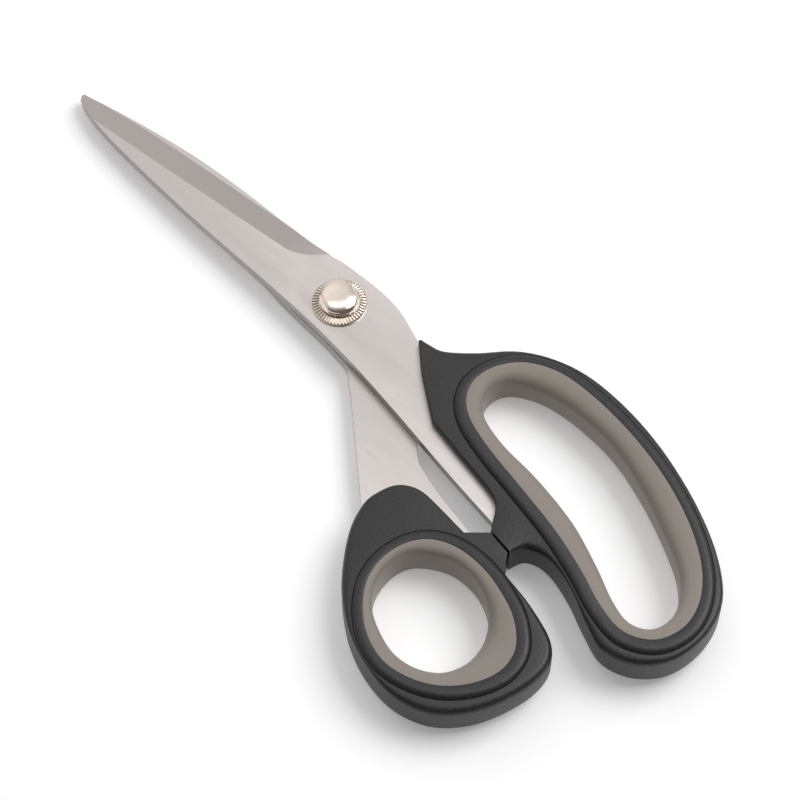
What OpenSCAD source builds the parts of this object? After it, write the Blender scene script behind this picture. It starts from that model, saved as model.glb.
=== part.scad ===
// Fabric shears with moulded bows, soft linings and an adjustable pivot.
// The pair lies flat and closed: blades toward +X, thumb bow toward +Y, +Z up.
// Outlines are drawn from the pivot; the whole part is then moved so that its
// origin is under the middle of its box, in the plane of both rims' undersides.

/* [Blades] */
// Thickness of each blade
blade_t = 3; // [2.4:0.1:3.4]
// Space between the two blades' inner faces
blade_gap = 0.1; // [0.06:0.02:0.2]
// Width of the ground bevel, across the blade
bevel_w = 7.9; // [6:0.1:9]
// Height of the flat left at the cutting edge
edge_land = 0.25; // [0.2:0.05:0.6]

/* [Bows] */
// Thickness of the moulded bows, without the raised rims
bow_t = 11.2; // [9.6:0.2:14]
// How far each rim stands above the bow's face
rim_rise = 0.9; // [0.4:0.1:1.4]
// Mean width of the raised rim round each lining
rim_w = 3.5; // [2.5:0.1:3.6]
// How far the soft linings fill the bows, 1 for the drawn throats
lining_fill = 1; // [0.6:0.05:1.1]
// Clear space between the two closing stops
stop_gap = 0.6; // [0.3:0.1:1]

/* [Pivot] */
// Diameter of the screw's journal
journal_d = 7; // [6:0.1:7.4]
// Radial running clearance of every turning fit
running_fit = 0.03; // [0.02:0.01:0.08]
// Outside diameter of the click ring
click_ring_d = 15.6; // [15:0.1:17]
// Number of radial serrations on the click ring
serrations = 48; // [36:2:60]
// Diameter of the cap nut's domed body
cap_d = 10.8; // [10.2:0.1:11]
// Width across the cap nut's two flats
cap_flats = 8.8; // [8:0.1:10]
// Height of the cap nut above the front blade
cap_rise = 4.2; // [3.8:0.1:4.8]

/* [Hidden] */
$fn = 96;
curve_steps = 5;
reach = 400;

// Heights, from the underside of the rims up
total_t = bow_t + 2 * rim_rise;
middle_z = total_t / 2;
front_z = middle_z + blade_gap / 2;
face_z = front_z + blade_t;
rear_z = middle_z - blade_gap / 2 - blade_t;

// ---------- curves ----------

function on_curve(a, b, c, d, t) =
    0.5 * (2 * b + (c - a) * t + (2 * a - 5 * b + 4 * c - d) * t * t + (3 * b - a - 3 * c + d) * t * t * t);

// Smooth closed curve through the points
function loop_curve(p) = [
    for (i = [0 : len(p) - 1], k = [0 : curve_steps - 1])
        on_curve(p[(i + len(p) - 1) % len(p)], p[i], p[(i + 1) % len(p)], p[(i + 2) % len(p)],
            k / curve_steps)
];

// Smooth open curve through the points, first and last included
function open_curve(p) = let (q = concat([2 * p[0] - p[1]], p, [2 * p[len(p) - 1] - p[len(p) - 2]])) concat(
    [for (i = [1 : len(p) - 1], k = [0 : curve_steps - 1])
        on_curve(q[i - 1], q[i], q[i + 1], q[i + 2], k / curve_steps)],
    [p[len(p) - 1]]
);

function inward(p, i) = let (t = p[(i + 1) % len(p)] - p[(i + len(p) - 1) % len(p)]) [-t.y, t.x] / norm(t);

// Counter-clockwise loop moved inwards by w, or outwards where w is negative
function inset(p, w) = [for (i = [0 : len(p) - 1]) p[i] + w * inward(p, i)];

// Loop that lies a share of the way from loop a to loop b, point by point
function between(a, b, share) = [for (i = [0 : len(a) - 1]) a[i] + share * (b[i] - a[i])];

function reversed(p) = [for (i = [len(p) - 1 : -1 : 0]) p[i]];

// ---------- outlines, seen from above, pivot at the origin ----------

cutting_edge = [[105.8, -0.9], [100, -2.1], [90, -3.9], [75, -5.8], [60, -7.2], [45, -8.4], [37, -9.1],
                [30, -9.8],
                [25, -10], [21, -10], [17, -9.9], [12.4, -9.7]];
tip = [[105.2, 1], [105.8, 0.1]];

front_back_edge = [[-79, 21.7], [-60, 18.9], [-38, 15.1], [-20, 12.3], [-7, 10.8], [5, 9.9], [20, 9.3],
                   [36, 8.9],
                   [52, 8.4], [68, 7.5], [83, 6.3], [92.5, 5.2], [99, 3.8], [103, 2.5], [105.2, 1]];
front_shoulder = [[12.4, -9.7], [9, -10.3], [4.5, -10.6], [-5, -10.8], [-14.3, -9.7], [-24.3, -6.2]];
front_tongue = [[-24.3, -6.2], [-30, -5.4], [-36, -7], [-41, -7], [-43, -3.5], [-45, 1], [-49, 5], [-55, 7.6],
                [-68, 10.8], [-75, 13.5], [-77.5, 18], [-79, 21.7]];
front_locks = [[-36, -2, 1.8], [-42.5, 4, 1.5]];
front_outline = concat(open_curve(cutting_edge), open_curve(front_shoulder), open_curve(front_tongue),
                       open_curve(front_back_edge), tip);

rear_back_edge = [[-46, 16.8], [-40, 11], [-31, 4], [-21, -3], [-12, -8], [-3, -10.2], [8, -10.3], [20, -10],
                  [35, -9.9], [50, -9.5], [65, -8.5], [76, -7.1], [84, -5.9], [92.5, -4.3], [99, -3],
                  [103, -2],
                  [105.2, -1]];
rear_edge = [[12.5, 9.6], [21, 9.2], [30, 8.9], [45, 8.2], [60, 7.1], [75, 5.8], [90, 3.9], [100, 2.1],
             [105.8, 0.9]];
rear_shoulder = [[-49, 42], [-45.5, 38.8], [-35, 29.6], [-24, 20], [-18.4, 15.3], [-14.4, 12.4], [-9.4, 11.5],
                 [-2.7, 10.7], [5.7, 10.2], [12.5, 9.6]];
rear_tongue = [[-78, 27.2], [-79.5, 29.2], [-75, 32.6], [-69, 36], [-64, 40.5], [-62, 46], [-60, 50.5],
               [-56, 49.5],
               [-52.3, 44.2], [-49, 42]];
rear_notch = [[-46, 16.8], [-49.5, 20], [-54, 21.8], [-62, 24], [-70, 25.6], [-78, 27.2]];
rear_locks = [[-57, 44.5, 1.8], [-61.5, 36, 1.8]];
rear_outline = concat(open_curve(rear_edge), [[105.8, -0.1]], reversed(open_curve(rear_back_edge)),
                      open_curve(rear_notch), open_curve(rear_tongue), open_curve(rear_shoulder));

finger_mouth = loop_curve([[-45.7, -7], [-47.8, -1], [-53.5, 3.6], [-64, 6.9], [-78, 9.7], [-93, 12.9],
                           [-106, 17], [-116.5, 21.2], [-126, 22.8], [-133.8, 18.7], [-136.8, 10.5],
                           [-134.6, 1.7], [-128, -6.4], [-117, -13.8], [-103, -19.7], [-88, -23.4],
                           [-73.5, -25],
                           [-61.5, -24.4], [-52.5, -20.4], [-47.3, -14]]);
finger_throat = loop_curve([[-50.4, -7.8], [-52, -3.3], [-56.2, 0.1], [-65.3, 2.5], [-78.5, 3.6],
                            [-94.2, 6.9],
                            [-107.5, 12.3], [-117.5, 17.2], [-125, 19.1], [-130.6, 16.4], [-132.2, 10.2],
                            [-129.6, 3.8], [-124, -1.9], [-114.3, -7.4], [-101.2, -13.4], [-87.2, -17.9],
                            [-73.8, -19.1], [-63.2, -18.2], [-55.7, -15.6], [-51.6, -12.4]]);
finger_tang_side = [[-46.1, 10.8], [-57.6, 13.1], [-69, 15.2], [-74.5, 16.8], [-77, 19], [-78.8, 21.9]];
finger_outer = [[-88.3, 25.7], [-91, 21.4], [-97.5, 19.8], [-107, 22.3], [-116.5, 26.8], [-125.5, 29.9],
                [-134.5, 27], [-140.8, 19], [-142.2, 7.5], [-138.8, -2.8], [-130, -11.3], [-116.5, -19],
                [-100, -25.5], [-84, -29.1], [-69, -29.8], [-57, -27.1], [-47, -21.6], [-39.5, -14],
                [-33, -8.4], [-28.5, -6.8], [-25.9, -5.9]];
finger_outline = concat([[-80.5, 24.5]], open_curve(finger_outer), [[-25.6, -5.3], [-33, 1.4], [-41.5, 7.6]],
                        open_curve(finger_tang_side));

thumb_mouth = loop_curve([[-65.4, 51], [-67, 58.2], [-71.5, 64.6], [-78, 69.7], [-86, 72.3], [-94, 71.3],
                          [-101.5, 67.6], [-107.3, 61.3], [-110.4, 53.5], [-109, 46], [-103, 40], [-95, 36.4],
                          [-86.5, 34.5], [-78, 34.8], [-71, 37.8], [-66.8, 43.5]]);
thumb_throat = loop_curve([[-67.5, 51], [-69, 57.5], [-72.9, 62.6], [-78.5, 65.9], [-86, 68.2], [-93.2, 67.4],
                           [-98.9, 63.8], [-101.4, 58.6], [-101.6, 53.5], [-100.2, 48], [-96.5, 42.6],
                           [-91.3, 39.2], [-86, 37.6], [-79.2, 37.8], [-72.8, 40.9], [-68.6, 45]]);
thumb_outer = [[-75.7, 29.9], [-66, 28.8], [-58, 28.6], [-52.7, 31.6], [-50.3, 37.3], [-50, 43],
               [-52.2, 49.5],
               [-57.3, 57.3], [-64.3, 65.2], [-74, 72.2], [-84.5, 76.2], [-95, 77.4], [-104.5, 74.5],
               [-111.5, 68], [-116, 59.5], [-118.5, 49.5], [-117.6, 41.6], [-112.8, 36.7], [-103, 33.4],
               [-91.6, 31.4]];
thumb_outline = concat(open_curve(thumb_outer), [[-88.2, 25.7 + stop_gap], [-80.7, 24.5 + stop_gap]]);

// The part's own box, from its outlines
all_x = [for (p = concat(front_outline, rear_outline, finger_outline, thumb_outline)) p.x];
all_y = [for (p = concat(front_outline, rear_outline, finger_outline, thumb_outline)) p.y];
box_middle = [(min(all_x) + max(all_x)) / 2, (min(all_y) + max(all_y)) / 2];

module placed() translate([-box_middle.x, -box_middle.y, 0]) children();

// ---------- blades ----------

// Blade blank with the holes that the moulded bow grips
module blank(outline, locks, z) translate([0, 0, z]) difference() {
    linear_extrude(blade_t) polygon(outline);
    for (lock = locks) translate([lock.x, lock.y, -1]) cylinder(r = lock.z, h = blade_t + 2);
}

// What grinding removes from the upper face, along the -Y edge: a flat cut that runs out round the wheel
bevel_heading = 5.45;
bevel_start = [24.6, -2.4];
bevel_block = [120, 40, 20];
wheel_r = 34;
module bevel_cut() translate([bevel_start.x, bevel_start.y, face_z]) rotate([0, 0, bevel_heading])
    rotate([atan((blade_t - edge_land) / bevel_w), 0, 0]) {
        translate([0, -bevel_block.y, 0]) cube(bevel_block);
        translate([0, 0, wheel_r]) rotate([90, 0, 0]) cylinder(r = wheel_r, h = bevel_block.y);
    }

module front_blade() color([0.83, 0.80, 0.78]) placed() difference() {
    blank(front_outline, front_locks, front_z);
    bevel_cut();
    translate([0, 0, front_z - 1]) cylinder(d = journal_d + 2 * running_fit, h = blade_t + 2);
}

// The rear blade carries the screw in a keyed hole and the bearing washer in a shallow recess
key_d = 8.4;
key_flats = 6.8;
washer_recess = 0.4;
washer_d = 13;
washer_play = 0.15;
washer_z = rear_z + blade_t - washer_recess;
module rear_blade() color([0.80, 0.78, 0.76]) placed() difference() {
    blank(rear_outline, rear_locks, rear_z);
    translate([0, 0, middle_z]) rotate([180, 0, 0]) translate([0, 0, -middle_z]) bevel_cut();
    translate([0, 0, rear_z - 1]) double_d(key_d + 2 * running_fit, key_flats + 2 * running_fit, blade_t + 2);
    translate([0, 0, washer_z]) cylinder(d = washer_d + 2 * washer_play, h = blade_t);
}

// Round bar with two flats, upright
module double_d(d, flats, h) intersection() {
    cylinder(d = d, h = h);
    translate([-d, -flats / 2, -1]) cube([2 * d, flats, h + 2]);
}

// ---------- bows ----------

// Flat body with a raised rim, which stands a little off the mouth's middle
module bow(outline, mouth, rim_shift) difference() {
    union() {
        translate([0, 0, rim_rise]) linear_extrude(bow_t) polygon(outline);
        linear_extrude(total_t) translate(rim_shift) polygon(inset(mouth, -rim_w));
    }
    translate([0, 0, -1]) linear_extrude(total_t + 2) polygon(mouth);
}

module finger_handle() color([0.16, 0.16, 0.165]) placed() difference() {
    bow(finger_outline, finger_mouth, [-0.4, 0.5]);
    blank(front_outline, front_locks, front_z);
}

module thumb_handle() color([0.16, 0.16, 0.165]) placed() difference() {
    bow(thumb_outline, thumb_mouth, [-0.6, -0.1]);
    blank(rear_outline, rear_locks, rear_z);
}

// Soft lining: a tube from mouth to throat, eased in two steps at both faces
lip_share = 0.6;
step_share = 0.9;
lip_h = 0.7;
step_h = 1.5;
module lining(mouth, throat) difference() {
    linear_extrude(total_t) polygon(mouth);
    translate([0, 0, -1]) linear_extrude(total_t + 2) polygon(between(mouth, throat, lining_fill));
    for (z = [-reach + step_h, total_t - step_h]) translate([0, 0, z])
        linear_extrude(reach) polygon(between(mouth, throat, step_share * lining_fill));
    for (z = [-reach + lip_h, total_t - lip_h]) translate([0, 0, z])
        linear_extrude(reach) polygon(between(mouth, throat, lip_share * lining_fill));
}

module finger_liner() color([0.60, 0.56, 0.51]) placed() lining(finger_mouth, finger_throat);

module thumb_liner() color([0.60, 0.56, 0.51]) placed() lining(thumb_mouth, thumb_throat);

// ---------- pivot ----------

// Heights of the stack that clamps the blades, from the front blade's face up
ring_lift = 0.05;
ring_base_h = 0.7;
spring_lift = 0.25;
spring_sheet = 0.3;
dome_wall = 1.1;
ring_z = face_z + ring_lift;
spring_z = ring_z + ring_base_h;
nut_z = spring_z + spring_lift + spring_sheet;
nut_h = face_z + cap_rise - nut_z;
thread_top = face_z + cap_rise - dome_wall;

head_d = 11;
head_h = 1.6;
head_chamfer = 0.5;
slot_w = 1.4;
slot_h = 0.8;
collar_d = 5.8;
collar_flats = 4.8;
thread_d = 5;
lead_in = 0.45;
module pivot_screw() color([0.74, 0.72, 0.70]) placed() difference() {
    union() {
        translate([0, 0, rear_z - head_h]) rotate_extrude()
            polygon([[0, 0], [head_d / 2 - head_chamfer, 0], [head_d / 2, head_chamfer], [head_d / 2, head_h],
                     [0, head_h]]);
        translate([0, 0, rear_z - head_h / 2])
            double_d(key_d, key_flats, head_h / 2 + blade_t - washer_recess);
        translate([0, 0, washer_z]) cylinder(d = journal_d, h = ring_z - washer_z);
        translate([0, 0, face_z]) double_d(collar_d, collar_flats, spring_z - face_z);
        translate([0, 0, face_z]) cylinder(d = thread_d - lead_in, h = thread_top - face_z);
        translate([0, 0, spring_z]) cylinder(d = thread_d, h = thread_top - lead_in - spring_z);
    }
    translate([-head_d, -slot_w / 2, rear_z - head_h - slot_h]) cube([2 * head_d, slot_w, 2 * slot_h]);
}

module bearing_washer() color([0.88, 0.86, 0.80]) placed() translate([0, 0, washer_z]) difference() {
    cylinder(d = washer_d, h = washer_recess + blade_gap / 2);
    translate([0, 0, -blade_t]) cylinder(d = journal_d + 2 * washer_play, h = 2 * blade_t);
}

// Low ring whose toothed face slopes down to its edge; the grooves take up most of the inner circumference
serration_in = 5.85;
serration_out = 7.45;
serration_top = 1.3;
serration_foot = 0.9;
skirt_h = 0.35;
groove_share = 0.9;
groove_w = groove_share * 2 * PI * serration_in / serrations;
groove_side = groove_w / sqrt(2);
groove_fall = atan((serration_top - serration_foot) / (serration_out - serration_in));
module click_ring() color([0.86, 0.80, 0.71]) placed() translate([0, 0, ring_z]) difference() {
    rotate_extrude() polygon([[0, 0], [click_ring_d / 2, 0], [click_ring_d / 2, skirt_h],
                              [serration_out, serration_foot], [serration_in, serration_top],
                              [serration_in, ring_base_h], [0, ring_base_h]]);
    translate([0, 0, -ring_base_h])
        double_d(collar_d + 2 * running_fit, collar_flats + 2 * running_fit, 3 * ring_base_h);
    for (i = [0 : serrations - 1]) rotate([0, 0, i * 360 / serrations])
        translate([serration_in, 0, serration_top]) rotate([0, groove_fall, 0]) rotate([45, 0, 0])
            translate([-groove_side, -groove_side / 2, -groove_side / 2])
                cube([serration_out - serration_in + 3 * groove_side, groove_side, groove_side]);
}

// Dished spring washer between the ring and the nut
spring_d = 10;
spring_bore_d = 5.6;
module spring_washer() color([0.70, 0.70, 0.71]) placed() translate([0, 0, spring_z]) rotate_extrude()
    polygon([[spring_bore_d / 2, spring_lift], [spring_d / 2, 0], [spring_d / 2, spring_sheet],
             [spring_bore_d / 2, spring_lift + spring_sheet]]);

// Blind cap nut: a round flange and a low dome with two finger flats, turned 154 degrees from +X
flange_h = 0.6;
nut_room = 0.3;
flats_turn = 154;
module cap_nut() color([0.88, 0.81, 0.71]) placed() translate([0, 0, nut_z]) difference() {
    union() {
        cylinder(d = 2 * (serration_in - nut_room), h = flange_h);
        intersection() {
            rotate_extrude() polygon([[0, 0], [cap_d / 2, 0], [cap_d / 2, nut_h - 1.5],
                                      [cap_d / 2 - 0.15, nut_h - 1.15], [cap_d / 2 - 0.5, nut_h - 0.8],
                                      [cap_d / 2 - 1.2, nut_h - 0.5], [cap_d / 2 - 2.4, nut_h - 0.22],
                                      [cap_d / 2 - 3.8, nut_h - 0.05], [0, nut_h]]);
            rotate([0, 0, flats_turn]) translate([-cap_d, -cap_flats / 2, -nut_h])
                cube([2 * cap_d, cap_flats, 3 * nut_h]);
        }
    }
    translate([0, 0, -nut_h])
        cylinder(d = thread_d + 2 * running_fit, h = thread_top - nut_z + nut_h + ring_lift);
}

front_blade();
rear_blade();
finger_handle();
thumb_handle();
finger_liner();
thumb_liner();
pivot_screw();
bearing_washer();
click_ring();
spring_washer();
cap_nut();
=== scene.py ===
import math

import bmesh
import bpy
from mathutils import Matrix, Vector


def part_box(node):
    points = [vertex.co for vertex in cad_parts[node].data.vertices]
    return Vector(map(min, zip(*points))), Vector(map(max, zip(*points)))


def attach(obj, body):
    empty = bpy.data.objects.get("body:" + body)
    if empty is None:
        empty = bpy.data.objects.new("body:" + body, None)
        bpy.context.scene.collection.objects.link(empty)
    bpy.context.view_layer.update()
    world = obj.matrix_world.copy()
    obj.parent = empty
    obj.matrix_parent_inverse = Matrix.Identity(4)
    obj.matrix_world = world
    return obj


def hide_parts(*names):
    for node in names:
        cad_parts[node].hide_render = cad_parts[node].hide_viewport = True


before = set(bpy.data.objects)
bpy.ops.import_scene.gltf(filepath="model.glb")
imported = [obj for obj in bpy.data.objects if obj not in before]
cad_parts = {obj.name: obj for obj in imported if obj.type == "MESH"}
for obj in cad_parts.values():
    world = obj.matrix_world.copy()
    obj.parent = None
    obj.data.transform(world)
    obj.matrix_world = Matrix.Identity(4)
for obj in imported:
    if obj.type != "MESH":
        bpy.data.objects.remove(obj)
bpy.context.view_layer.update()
MM = 0.001


# ---------------------------------------------------------------- front blade
# The upper blade, blanked from stainless sheet and satin finished, with a flat ground bevel along its cutting
# edge. Its tang is moulded into the finger bow and the pivot journal passes through it.

WELD = 0.001 * MM
SATIN, GROUND, SHEARED_AND_SHADED = range(3)
BLADE_EDGE_R = 0.14


def piece_from(node, name):
    """A new piece on a CAD node's shape: one closed skin with whole flat faces."""
    piece = bpy.data.objects.new(name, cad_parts[node].data.copy())
    bpy.context.scene.collection.objects.link(piece)
    work_on(piece)
    bpy.ops.mesh.customdata_custom_splitnormals_clear()
    bpy.ops.object.mode_set(mode="EDIT")
    bpy.ops.mesh.select_all(action="SELECT")
    bpy.ops.mesh.remove_doubles(threshold=WELD)
    bpy.ops.mesh.dissolve_limited(angle_limit=math.radians(0.25), use_dissolve_boundaries=False)
    bpy.ops.mesh.select_all(action="DESELECT")
    bpy.ops.object.mode_set(mode="OBJECT")
    return piece


def work_on(piece):
    """Makes this the only selected piece."""
    if bpy.context.object and bpy.context.object.mode == "EDIT":
        bpy.ops.object.mode_set(mode="OBJECT")
    bpy.ops.object.select_all(action="DESELECT")
    piece.select_set(True)
    bpy.context.view_layer.objects.active = piece


def round_edges(piece, width_of, steps, name="rounding"):
    """Rounds every edge by the radius that width_of gives it, in mm; 0 leaves it sharp."""
    skin = bmesh.new()
    skin.from_mesh(piece.data)
    radii = [width_of(edge) for edge in skin.edges]
    widest = max(radii)
    weights = skin.edges.layers.float.new("bevel_weight_edge")
    for edge, radius in zip(skin.edges, radii):
        edge[weights] = radius / widest
    skin.to_mesh(piece.data)
    skin.free()
    bevel = piece.modifiers.new(name, "BEVEL")
    bevel.limit_method = "WEIGHT"
    bevel.offset_type = "OFFSET"
    bevel.width = widest * MM
    bevel.segments = steps
    bevel.use_clamp_overlap = False
    work_on(piece)
    bpy.ops.object.modifier_apply(modifier=name)


def shade(piece, degrees):
    """Smooth shading, except over edges sharper than this."""
    work_on(piece)
    bpy.ops.object.shade_smooth_by_angle(angle=math.radians(degrees))


def turn_of(edge):
    """How sharply the skin turns over an edge, in degrees; 0 on a seam."""
    return math.degrees(edge.calc_face_angle(0.0))


def steel(name, colour, drift, pattern_turn, roughness, grain, stretch):
    """Satin stainless steel: a fine grain, drawn out along an axis by stretch, and a slow drift of tone."""
    material = bpy.data.materials.new(name)
    material.use_nodes = True
    nodes, links = material.node_tree.nodes, material.node_tree.links
    shader = nodes["Principled BSDF"]
    shader.inputs["Metallic"].default_value = 1.0
    shader.inputs["Anisotropic"].default_value = 0.25
    place = nodes.new("ShaderNodeTexCoord")
    fit = nodes.new("ShaderNodeMapping")
    fit.inputs["Rotation"].default_value = (0, 0, math.radians(pattern_turn))
    fit.inputs["Scale"].default_value = stretch
    fine = nodes.new("ShaderNodeTexNoise")
    fine.inputs["Scale"].default_value = grain
    fine.inputs["Detail"].default_value = 3.0
    fine.inputs["Roughness"].default_value = 0.65
    slow = nodes.new("ShaderNodeTexNoise")
    slow.inputs["Scale"].default_value = 26.0
    slow.inputs["Detail"].default_value = 2.0
    links.new(place.outputs["Object"], fit.inputs["Vector"])
    links.new(fit.outputs["Vector"], fine.inputs["Vector"])
    links.new(place.outputs["Object"], slow.inputs["Vector"])
    tone = nodes.new("ShaderNodeMixRGB")
    tone.inputs["Color1"].default_value = (*[c * (1 - drift) for c in colour], 1)
    tone.inputs["Color2"].default_value = (*[min(1.0, c * (1 + drift)) for c in colour], 1)
    both = nodes.new("ShaderNodeMath")
    both.operation = "MULTIPLY_ADD"
    both.inputs[1].default_value = 0.75
    half = nodes.new("ShaderNodeMath")
    half.operation = "MULTIPLY"
    half.inputs[1].default_value = 0.25
    links.new(slow.outputs["Fac"], half.inputs[0])
    links.new(fine.outputs["Fac"], both.inputs[0])
    links.new(half.outputs[0], both.inputs[2])
    links.new(both.outputs[0], tone.inputs["Fac"])
    links.new(tone.outputs["Color"], shader.inputs["Base Color"])
    sheen = nodes.new("ShaderNodeMapRange")
    sheen.inputs["To Min"].default_value = roughness - 0.07
    sheen.inputs["To Max"].default_value = roughness + 0.09
    links.new(fine.outputs["Fac"], sheen.inputs["Value"])
    links.new(sheen.outputs["Result"], shader.inputs["Roughness"])
    bump = nodes.new("ShaderNodeBump")
    bump.inputs["Strength"].default_value = 0.12
    bump.inputs["Distance"].default_value = 0.02 * MM
    links.new(fine.outputs["Fac"], bump.inputs["Height"])
    links.new(bump.outputs["Normal"], shader.inputs["Normal"])
    return material


satin_steel = steel("satin_steel", (0.63, 0.585, 0.56), 0.05, 0, 0.34, 900.0, (0.12, 1.0, 1.0))
ground_steel = steel("ground_steel", (0.59, 0.535, 0.515), 0.05, 84, 0.30, 1100.0, (0.05, 1.0, 1.0))
# Upright sheared walls: a rougher finish with the grain across it, and a darker colour that is painted shade
# for the shadowed table they reflect.
sheared_and_shaded_steel = steel("sheared_and_shaded_steel", (0.44, 0.41, 0.395), 0.10, 90, 0.46, 1500.0, (1.0, 1.0, 0.15))


def ground(face):
    """Faces that the grinding wheel left: the only ones that are neither level nor upright."""
    return 0.5 < abs(face.normal.z) < 0.9995


def finish_blade(blade):
    """Finishes faces, bevel and sheared edges, breaks the sheet's edges and keeps the cutting edge keen; the
    sheared edges' darker colour is partly painted shade.
    """
    blade.data.materials.clear()
    for finish in (satin_steel, ground_steel, sheared_and_shaded_steel):
        blade.data.materials.append(finish)
    # upright faces take the sheared steel, whose darker colour is partly painted shade
    for face in blade.data.polygons:
        face.material_index = GROUND if ground(face) else SHEARED_AND_SHADED if abs(face.normal.z) < 0.5 else SATIN

    def broken(edge):
        keen = any(map(ground, edge.link_faces))
        return BLADE_EDGE_R if turn_of(edge) > 55 and not keen else 0.0

    round_edges(blade, broken, 3)
    shade(blade, 14)
    blade.modifiers.new("flat_faces", "WEIGHTED_NORMAL").keep_sharp = True
    work_on(blade)
    bpy.ops.object.modifier_apply(modifier="flat_faces")


front_blade = piece_from("front_blade", "front_blade_sheet")
finish_blade(front_blade)
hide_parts("front_blade")
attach(front_blade, "front_half")


# ---------------------------------------------------------------- rear blade
# The lower blade, from the same sheet, ground on its underside. The pivot screw is keyed into it and its tang
# is moulded into the thumb bow.

rear_blade = piece_from("rear_blade", "rear_blade_sheet")
finish_blade(rear_blade)
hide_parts("rear_blade")
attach(rear_blade, "rear_half")


# ---------------------------------------------------------------- finger bow
# The long bow for the fingers: hard black nylon moulded over the front blade's tang, with a raised rim round
# the lining and well-rounded outer edges. The skin carries a fine spark-eroded grain.

def moulded_plastic(name, colour, roughness):
    """Moulded plastic with a fine eroded grain."""
    material = bpy.data.materials.new(name)
    material.use_nodes = True
    nodes, links = material.node_tree.nodes, material.node_tree.links
    shader = nodes["Principled BSDF"]
    shader.inputs["IOR"].default_value = 1.5
    place = nodes.new("ShaderNodeTexCoord")
    grain = nodes.new("ShaderNodeTexNoise")
    grain.inputs["Scale"].default_value = 1900.0
    grain.inputs["Detail"].default_value = 4.0
    grain.inputs["Roughness"].default_value = 0.7
    specks = nodes.new("ShaderNodeTexVoronoi")
    specks.inputs["Scale"].default_value = 1300.0
    links.new(place.outputs["Object"], grain.inputs["Vector"])
    links.new(place.outputs["Object"], specks.inputs["Vector"])
    spread = nodes.new("ShaderNodeMapRange")
    spread.inputs["From Min"].default_value = 0.33
    spread.inputs["From Max"].default_value = 0.67
    links.new(grain.outputs["Fac"], spread.inputs["Value"])
    tone = nodes.new("ShaderNodeMixRGB")
    tone.inputs["Color1"].default_value = (*[c * 0.45 for c in colour], 1)
    tone.inputs["Color2"].default_value = (*[c * 1.6 for c in colour], 1)
    links.new(spread.outputs["Result"], tone.inputs["Fac"])
    links.new(tone.outputs["Color"], shader.inputs["Base Color"])
    sheen = nodes.new("ShaderNodeMapRange")
    sheen.inputs["To Min"].default_value = roughness - 0.08
    sheen.inputs["To Max"].default_value = roughness + 0.1
    links.new(grain.outputs["Fac"], sheen.inputs["Value"])
    links.new(sheen.outputs["Result"], shader.inputs["Roughness"])
    relief = nodes.new("ShaderNodeMath")
    relief.operation = "ADD"
    links.new(grain.outputs["Fac"], relief.inputs[0])
    links.new(specks.outputs["Distance"], relief.inputs[1])
    bump = nodes.new("ShaderNodeBump")
    bump.inputs["Strength"].default_value = 0.6
    bump.inputs["Distance"].default_value = 0.05 * MM
    links.new(relief.outputs[0], bump.inputs["Height"])
    links.new(bump.outputs["Normal"], shader.inputs["Normal"])
    return material


black_nylon = moulded_plastic("black_nylon", (0.016, 0.016, 0.0165), 0.42)


LEVEL = 0.01 * MM
FULL_WALL = 8 * MM
RIM_RISE = 0.9 * MM


def neighbours(ring):
    """Each item of a closed ring, between the one before it and the one after it."""
    return zip(ring[-1:] + ring[:-1], ring, ring[1:] + ring[:1])


def area_of(ring):
    """Twice the area inside a ring, positive where it runs counter-clockwise."""
    return sum(a.cross(b) for a, b in zip(ring, ring[1:] + ring[:1]))


def border_ring(skin, height, convex):
    """Borders of flat faces at this height, longest first: counter-clockwise points and wall heights."""
    tall = {}
    for edge in skin.edges:
        if all(abs(v.co.z - height) < LEVEL for v in edge.verts) and edge.is_convex == convex:
            walls = [f for f in edge.link_faces if abs(f.normal.z) < 0.3]
            if walls and turn_of(edge) > 50:
                tall[edge] = max(abs(v.co.z - height) for f in walls for v in f.verts)
    rings = []
    while tall:
        ring, heights = [], []
        edge = next(iter(tall))
        here = edge.verts[0]
        while edge is not None:
            ring.append(here.co.to_2d())
            heights.append(tall.pop(edge))
            here = edge.other_vert(here)
            edge = next((e for e in here.link_edges if e in tall), None)
        rings.append((ring, heights) if area_of(ring) > 0 else (ring[::-1], heights[-2::-1] + heights[-1:]))
    return sorted(rings, key=lambda r: -sum((a - b).length for a, b in zip(r[0], r[0][1:])))


def inward(ring):
    """Unit directions into a counter-clockwise ring, one for each point."""
    out = []
    for before, _, after in neighbours(ring):
        along = (after - before).normalized()
        out.append(Vector((-along.y, along.x)))
    return out


def closed_piece(name, mesh, material, degrees):
    """A new piece on a closed mesh, faces outwards, with its finish and its smoothing angle."""
    piece = bpy.data.objects.new(name, mesh)
    bpy.context.scene.collection.objects.link(piece)
    work_on(piece)
    bpy.ops.object.mode_set(mode="EDIT")
    bpy.ops.mesh.select_all(action="SELECT")
    bpy.ops.mesh.normals_make_consistent(inside=False)
    bpy.ops.object.mode_set(mode="OBJECT")
    piece.data.materials.append(material)
    shade(piece, degrees)
    return piece


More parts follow.
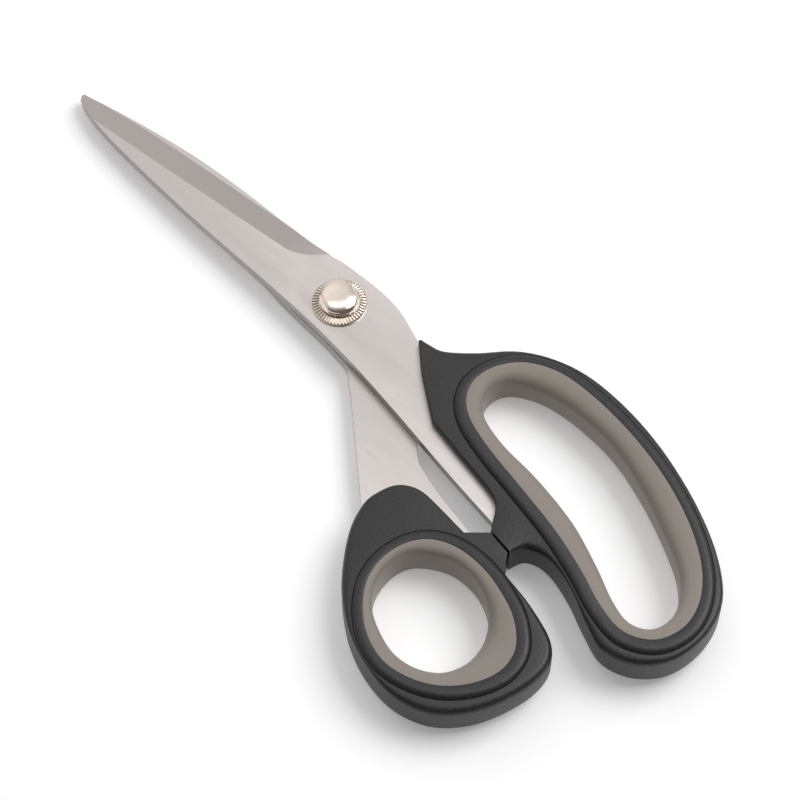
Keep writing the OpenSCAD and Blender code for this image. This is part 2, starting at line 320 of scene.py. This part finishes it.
def moulded_bow(node, name, edge_r, border_r):
    """A bow as a closed shell: rounded outer edge, flat ledge, raised rim and a lip that meets the lining."""
    cad = bmesh.new()
    cad.from_mesh(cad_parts[node].data)
    bmesh.ops.remove_doubles(cad, verts=cad.verts, dist=WELD)
    low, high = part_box(node)
    middle, face = (low.z + high.z) / 2, high.z - RIM_RISE
    outline, walls = border_ring(cad, face, True)[0]
    foot = border_ring(cad, face, False)[0][0]
    mouth = border_ring(cad, high.z, True)[1][0]
    cad.free()
    corners = [p for before, p, after in neighbours(outline)
               if (p - before).angle(after - p) > math.radians(30)]
    room = []
    for p in outline:
        by_rim = 0.7 * min((p - q).length for q in foot)
        by_corner = 0.15 * MM + 0.5 * min((p - c).length for c in corners)
        room.append(min(by_rim, by_corner) / MM)
    radii = [border_r if wall < FULL_WALL else edge_r for wall in walls]
    for _ in range(3):
        radii = [min(gap, r) for gap, r in zip(room, radii)]
        radii = [(a + b + c) / 3 for a, b, c in neighbours(radii)]
    radii = [min(gap, r) for gap, r in zip(room, radii)]
    into, to_mouth = inward(outline), inward(foot)
    outward = [-d for d in inward(mouth)]
    shell = bmesh.new()

    def ring(points, z):
        return [shell.verts.new((p.x, p.y, z)) for p in points]

    def wall(lower, upper):
        for i in range(len(lower)):
            j = (i + 1) % len(lower)
            shell.faces.new((lower[i], lower[j], upper[j], upper[i]))

    def skin_over(rings):
        for lower, upper in zip(rings, rings[1:]):
            wall(lower, upper)

    steps = 5
    turns = [math.radians(90 * k / steps) for k in range(steps + 1)]
    # the rim's flank and the lip round the mouth, each as (distance, height) pairs in mm
    flank = [(-0.05, 0.0), (0.04, -0.17), (0.2, 0.1), (0.5, 0.48), (1.0, 0.76), (1.4, 0.87), (1.7, 0.9)]
    eased = [(0.22, 0.0), (0.07, 0.06), (0.0, 0.2)]
    outer, rim = [], []
    for side in (-1, 1):
        rings = []
        for turn in turns:
            points, levels = [], []
            for p, d, r in zip(outline, into, radii):
                points.append(p + d * r * (1 - math.cos(turn)) * MM)
                levels.append(middle + side * (face - middle - r * (1 - math.sin(turn)) * MM))
            rings.append([shell.verts.new((p.x, p.y, z)) for p, z in zip(points, levels)])
        outer.append(rings)
        rings = [ring([p + d * w * MM for p, d in zip(foot, to_mouth)],
                      middle + side * (face - middle + h * MM)) for w, h in flank]
        lip = [ring([p + d * w * MM for p, d in zip(mouth, outward)],
                    middle + side * (high.z - middle - h * MM)) for w, h in eased]
        rim.append((rings, lip))
    skin_over(outer[0][::-1] + outer[1])
    for (rings, lip), edges, side in zip(rim, outer, (-1, 1)):
        skin_over(rings)
        skin_over(lip)
        for a, b in ((edges[-1], rings[0]), (rings[-1], lip[0])):
            loops = [shell.edges.get((r[i], r[(i + 1) % len(r)])) for r in (a, b) for i in range(len(r))]
            bmesh.ops.triangle_fill(shell, use_beauty=True, use_dissolve=False, edges=loops)
    wall(rim[0][1][-1], rim[1][1][-1])
    mesh = bpy.data.meshes.new(name)
    shell.to_mesh(mesh)
    shell.free()
    return closed_piece(name, mesh, black_nylon, 35)


finger_bow = moulded_bow("finger_handle", "finger_bow_shell", 2.0, 0.6)
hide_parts("finger_handle")
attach(finger_bow, "front_half")


# ---------------------------------------------------------------- thumb bow
# The smaller bow for the thumb, moulded over the rear blade's tang from the same nylon.

thumb_bow = moulded_bow("thumb_handle", "thumb_bow_shell", 2.0, 0.6)
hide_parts("thumb_handle")
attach(thumb_bow, "rear_half")


# ---------------------------------------------------------------- bow linings
# Soft taupe elastomer moulded inside each bow: it starts just under the rim, falls gently inwards and turns
# down into an upright throat, the same on both faces.

LINING_SINK = 0.08 * MM
LINING_LEAN = math.radians(12)
LINING_BENDS = 9

def soft_touch(name, colour):
    """Soft-touch elastomer: matt, with a very fine bloom."""
    material = bpy.data.materials.new(name)
    material.use_nodes = True
    nodes, links = material.node_tree.nodes, material.node_tree.links
    shader = nodes["Principled BSDF"]
    shader.inputs["IOR"].default_value = 1.46
    shader.inputs["Sheen Weight"].default_value = 0.15
    place = nodes.new("ShaderNodeTexCoord")
    bloom = nodes.new("ShaderNodeTexNoise")
    bloom.inputs["Scale"].default_value = 1800.0
    bloom.inputs["Detail"].default_value = 3.0
    drift = nodes.new("ShaderNodeTexNoise")
    drift.inputs["Scale"].default_value = 40.0
    drift.inputs["Detail"].default_value = 2.0
    links.new(place.outputs["Object"], bloom.inputs["Vector"])
    links.new(place.outputs["Object"], drift.inputs["Vector"])
    blend = nodes.new("ShaderNodeMath")
    blend.operation = "MULTIPLY_ADD"
    blend.inputs[1].default_value = 0.6
    part = nodes.new("ShaderNodeMath")
    part.operation = "MULTIPLY"
    part.inputs[1].default_value = 0.4
    links.new(drift.outputs["Fac"], part.inputs[0])
    links.new(bloom.outputs["Fac"], blend.inputs[0])
    links.new(part.outputs[0], blend.inputs[2])
    tone = nodes.new("ShaderNodeMixRGB")
    tone.inputs["Color1"].default_value = (*[c * 0.88 for c in colour], 1)
    tone.inputs["Color2"].default_value = (*[c * 1.12 for c in colour], 1)
    links.new(blend.outputs[0], tone.inputs["Fac"])
    links.new(tone.outputs["Color"], shader.inputs["Base Color"])
    sheen = nodes.new("ShaderNodeMapRange")
    sheen.inputs["To Min"].default_value = 0.5
    sheen.inputs["To Max"].default_value = 0.66
    links.new(bloom.outputs["Fac"], sheen.inputs["Value"])
    links.new(sheen.outputs["Result"], shader.inputs["Roughness"])
    bump = nodes.new("ShaderNodeBump")
    bump.inputs["Strength"].default_value = 0.2
    bump.inputs["Distance"].default_value = 0.02 * MM
    links.new(bloom.outputs["Fac"], bump.inputs["Height"])
    links.new(bump.outputs["Normal"], shader.inputs["Normal"])
    return material


taupe_elastomer = soft_touch("taupe_elastomer", (0.272, 0.239, 0.207))


def wall_ring(skin, height):
    """The points along an upright wall's border at this height, in order, counter-clockwise."""

    def tall(face):
        levels = [v.co.z for v in face.verts]
        return max(levels) - min(levels) > FULL_WALL

    border = [e for e in skin.edges
              if all(abs(v.co.z - height) < LEVEL for v in e.verts) and any(map(tall, e.link_faces))]
    after = {}
    for e in border:
        for a, b in (e.verts, reversed(e.verts)):
            after.setdefault(a, []).append(b)
    ring, here, last = [], border[0].verts[0], None
    while not ring or here is not ring[0]:
        ring.append(here)
        last, here = here, next(v for v in after[here] if v is not last)
    points = [v.co.to_2d() for v in ring]
    return points if area_of(points) > 0 else points[::-1]


def lining(node, name):
    """A lining from its mouth to its throat: a nearly level band, a rounded turn and an upright wall."""
    skin = bmesh.new()
    skin.from_mesh(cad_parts[node].data)
    bmesh.ops.remove_doubles(skin, verts=skin.verts, dist=WELD)
    low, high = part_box(node)
    mouth = wall_ring(skin, high.z)
    throat_top = max(v.co.z for v in skin.verts if v.co.z < high.z - 1 * MM)
    throat = wall_ring(skin, throat_top)
    skin.free()
    count = len(mouth)
    start = min(range(count),
                key=lambda k: sum((mouth[i] - throat[(i + k) % count]).length for i in range(count)))
    throat = [throat[(i + start) % count] for i in range(count)]
    sink, half, lean = LINING_SINK, (high.z - low.z) / 2, LINING_LEAN
    bends = [lean + (math.pi / 2 - lean) * k / LINING_BENDS for k in range(1, LINING_BENDS + 1)]
    upper = []
    for m, t in zip(mouth, throat):
        width = (t - m).length
        turn_r = 0.6 * MM + 0.42 * width
        band = width - turn_r
        fall = band * math.tan(lean) / 2
        line = [(band * a, half - sink - fall * a * a) for a in (0.0, 0.25, 0.5, 0.75, 1.0)]
        reach = 1 - math.sin(lean)
        line += [(band + turn_r * (math.sin(bend) - math.sin(lean)) / reach,
                  half - sink - fall - turn_r * (math.cos(lean) - math.cos(bend))) for bend in bends]
        upper.append([(m.lerp(t, across / width), z) for across, z in line])
    levels = len(upper[0])
    points = [(p.x, p.y, half + z) for k in range(levels) for p, z in (column[k] for column in upper)]
    points += [(p.x, p.y, half - z)
               for k in reversed(range(levels)) for p, z in (column[k] for column in upper)]
    rows = 2 * levels
    faces = [(r * count + i, r * count + (i + 1) % count, (r + 1) % rows * count + (i + 1) % count,
              (r + 1) % rows * count + i) for r in range(rows) for i in range(count)]
    mesh = bpy.data.meshes.new(name)
    mesh.from_pydata(points, [], faces)
    return closed_piece(name, mesh, taupe_elastomer, 40)


finger_lining = lining("finger_liner", "finger_bow_lining")
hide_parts("finger_liner")
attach(finger_lining, "front_half")

thumb_lining = lining("thumb_liner", "thumb_bow_lining")
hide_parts("thumb_liner")
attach(thumb_lining, "rear_half")


# ---------------------------------------------------------------- pivot
# A keyed screw from below, a pale bearing washer between the blades, and on top a toothed click ring, a
# dished spring washer and a domed cap nut. Ring and nut are nickel plated with a warm tone.

def plate(name, colour, roughness):
    """Bright nickel plate over turned metal: a faint handling haze in tone, gloss and relief."""
    material = bpy.data.materials.new(name)
    material.use_nodes = True
    nodes, links = material.node_tree.nodes, material.node_tree.links
    shader = nodes["Principled BSDF"]
    shader.inputs["Metallic"].default_value = 1.0
    place = nodes.new("ShaderNodeTexCoord")
    haze = nodes.new("ShaderNodeTexNoise")
    haze.inputs["Scale"].default_value = 420.0
    haze.inputs["Detail"].default_value = 3.0
    links.new(place.outputs["Object"], haze.inputs["Vector"])
    tone = nodes.new("ShaderNodeMixRGB")
    tone.inputs["Color1"].default_value = (*[c * 0.93 for c in colour], 1)
    tone.inputs["Color2"].default_value = (*[min(1.0, c * 1.05) for c in colour], 1)
    links.new(haze.outputs["Fac"], tone.inputs["Fac"])
    links.new(tone.outputs["Color"], shader.inputs["Base Color"])
    gloss = nodes.new("ShaderNodeMapRange")
    gloss.inputs["To Min"].default_value = roughness - 0.04
    gloss.inputs["To Max"].default_value = roughness + 0.06
    links.new(haze.outputs["Fac"], gloss.inputs["Value"])
    links.new(gloss.outputs["Result"], shader.inputs["Roughness"])
    bump = nodes.new("ShaderNodeBump")
    bump.inputs["Strength"].default_value = 0.08
    bump.inputs["Distance"].default_value = 0.02 * MM
    links.new(haze.outputs["Fac"], bump.inputs["Height"])
    links.new(bump.outputs["Normal"], shader.inputs["Normal"])
    return material


warm_nickel = plate("warm_nickel", (0.92, 0.81, 0.715), 0.17)
zinc_steel = plate("zinc_steel", (0.62, 0.60, 0.57), 0.26)
ring_nickel = plate("ring_nickel", (0.94, 0.83, 0.74), 0.27)
bearing_nylon = moulded_plastic("bearing_nylon", (0.48, 0.46, 0.41), 0.5)


def finish_node(node, material, radius):
    """Keeps a CAD node's own shape: one skin, finely broken edges and its finish."""
    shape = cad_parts[node]
    shape.data.materials.clear()
    shape.data.materials.append(material)
    weld = shape.modifiers.new("one_skin", "WELD")
    weld.merge_threshold = WELD
    edges = shape.modifiers.new("broken_edges", "BEVEL")
    edges.width = radius * MM
    edges.segments = 2
    edges.limit_method = "ANGLE"
    edges.angle_limit = math.radians(30)


finish_node("pivot_screw", zinc_steel, 0.06)
finish_node("spring_washer", zinc_steel, 0.03)
finish_node("click_ring", ring_nickel, 0.05)
finish_node("bearing_washer", bearing_nylon, 0.03)

cap = piece_from("cap_nut", "cap_nut_dome")
round_edges(cap, lambda edge: 0.12 if turn_of(edge) > 40 and edge.is_convex else 0.0, 3)
cap.data.materials.clear()
cap.data.materials.append(warm_nickel)
shade(cap, 30)
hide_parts("cap_nut")
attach(cap, "tension_nut")


# ---------------------------------------------------------------- table, light and camera
# A plain white table top; closed shears rest on the blades' far end and on the front of the finger bow's rim,
# so the top slopes a little against them. Two soft lamps light them in a room brightest beyond the tips.

rest_x = -24.4 * MM
tip_x, tip_z = 111.5 * MM, 3.45 * MM
slope = math.atan2(tip_z, tip_x - rest_x)
bpy.ops.object.select_all(action="DESELECT")
bpy.ops.mesh.primitive_plane_add(size=8, location=(rest_x, 0, -0.02 * MM), rotation=(0, -slope, 0))
table = bpy.context.object
table.name = "table_top"
white = bpy.data.materials.new("white_table")
white.use_nodes = True
top = white.node_tree.nodes["Principled BSDF"]
top.inputs["Base Color"].default_value = (0.90, 0.90, 0.905, 1)
top.inputs["Roughness"].default_value = 0.75
top.inputs["Specular IOR Level"].default_value = 0.2
top.inputs["Emission Color"].default_value = (1, 1, 1, 1)
top.inputs["Emission Strength"].default_value = 0.24
table.data.materials.append(white)

world = bpy.data.worlds.new("pale_room")
world.use_nodes = True
room, joins = world.node_tree.nodes, world.node_tree.links
way = room.new("ShaderNodeTexCoord")
toward = room.new("ShaderNodeVectorMath")
toward.operation = "DOT_PRODUCT"
toward.inputs[1].default_value = Vector((0.752, -0.251, 0.612)).normalized()
joins.new(way.outputs["Generated"], toward.inputs[0])
facing = room.new("ShaderNodeMath")
facing.operation = "MAXIMUM"
facing.inputs[1].default_value = 0.0
glow = room.new("ShaderNodeMath")
glow.operation = "POWER"
glow.inputs[1].default_value = 2.0
level = room.new("ShaderNodeMath")
level.operation = "MULTIPLY_ADD"
level.inputs[1].default_value = 0.83
level.inputs[2].default_value = 0.12
joins.new(toward.outputs["Value"], facing.inputs[0])
joins.new(facing.outputs[0], glow.inputs[0])
joins.new(glow.outputs[0], level.inputs[0])
joins.new(level.outputs[0], room["Background"].inputs["Strength"])
room["Background"].inputs["Color"].default_value = (1, 1, 1, 1)
bpy.context.scene.world = world

aim = Vector((-14.593, -13.966, 6.5)) * MM


def soft_lamp(name, place, width, depth, power):
    """A large soft lamp aimed at the shears."""
    bpy.ops.object.light_add(type="AREA", location=place)
    lamp = bpy.context.object
    lamp.name = name
    lamp.data.shape = "RECTANGLE"
    lamp.data.size = width
    lamp.data.size_y = depth
    lamp.data.energy = power
    lamp.rotation_euler = (lamp.location - aim).to_track_quat("Z", "Y").to_euler()


soft_lamp("key_lamp", (-0.42, -0.80, 1.15), 1.0, 1.0, 14)
soft_lamp("strip_lamp", (0.20, -0.21, 1.47), 1.3, 0.5, 1.6)

azimuth, elevation, away = math.radians(223.64), math.radians(60), 0.8
back = Vector((math.sin(azimuth) * math.cos(elevation), -math.cos(azimuth) * math.cos(elevation),
               math.sin(elevation)))
bpy.ops.object.camera_add(location=aim + back * away)
camera = bpy.context.object
camera.rotation_euler = back.to_track_quat("Z", "Y").to_euler()
camera.data.sensor_width = 36
camera.data.lens = 130
camera.data.clip_start = 0.01
bpy.context.scene.camera = camera
bpy.context.scene.view_settings.view_transform = "Standard"
bpy.context.scene.view_settings.look = "None"
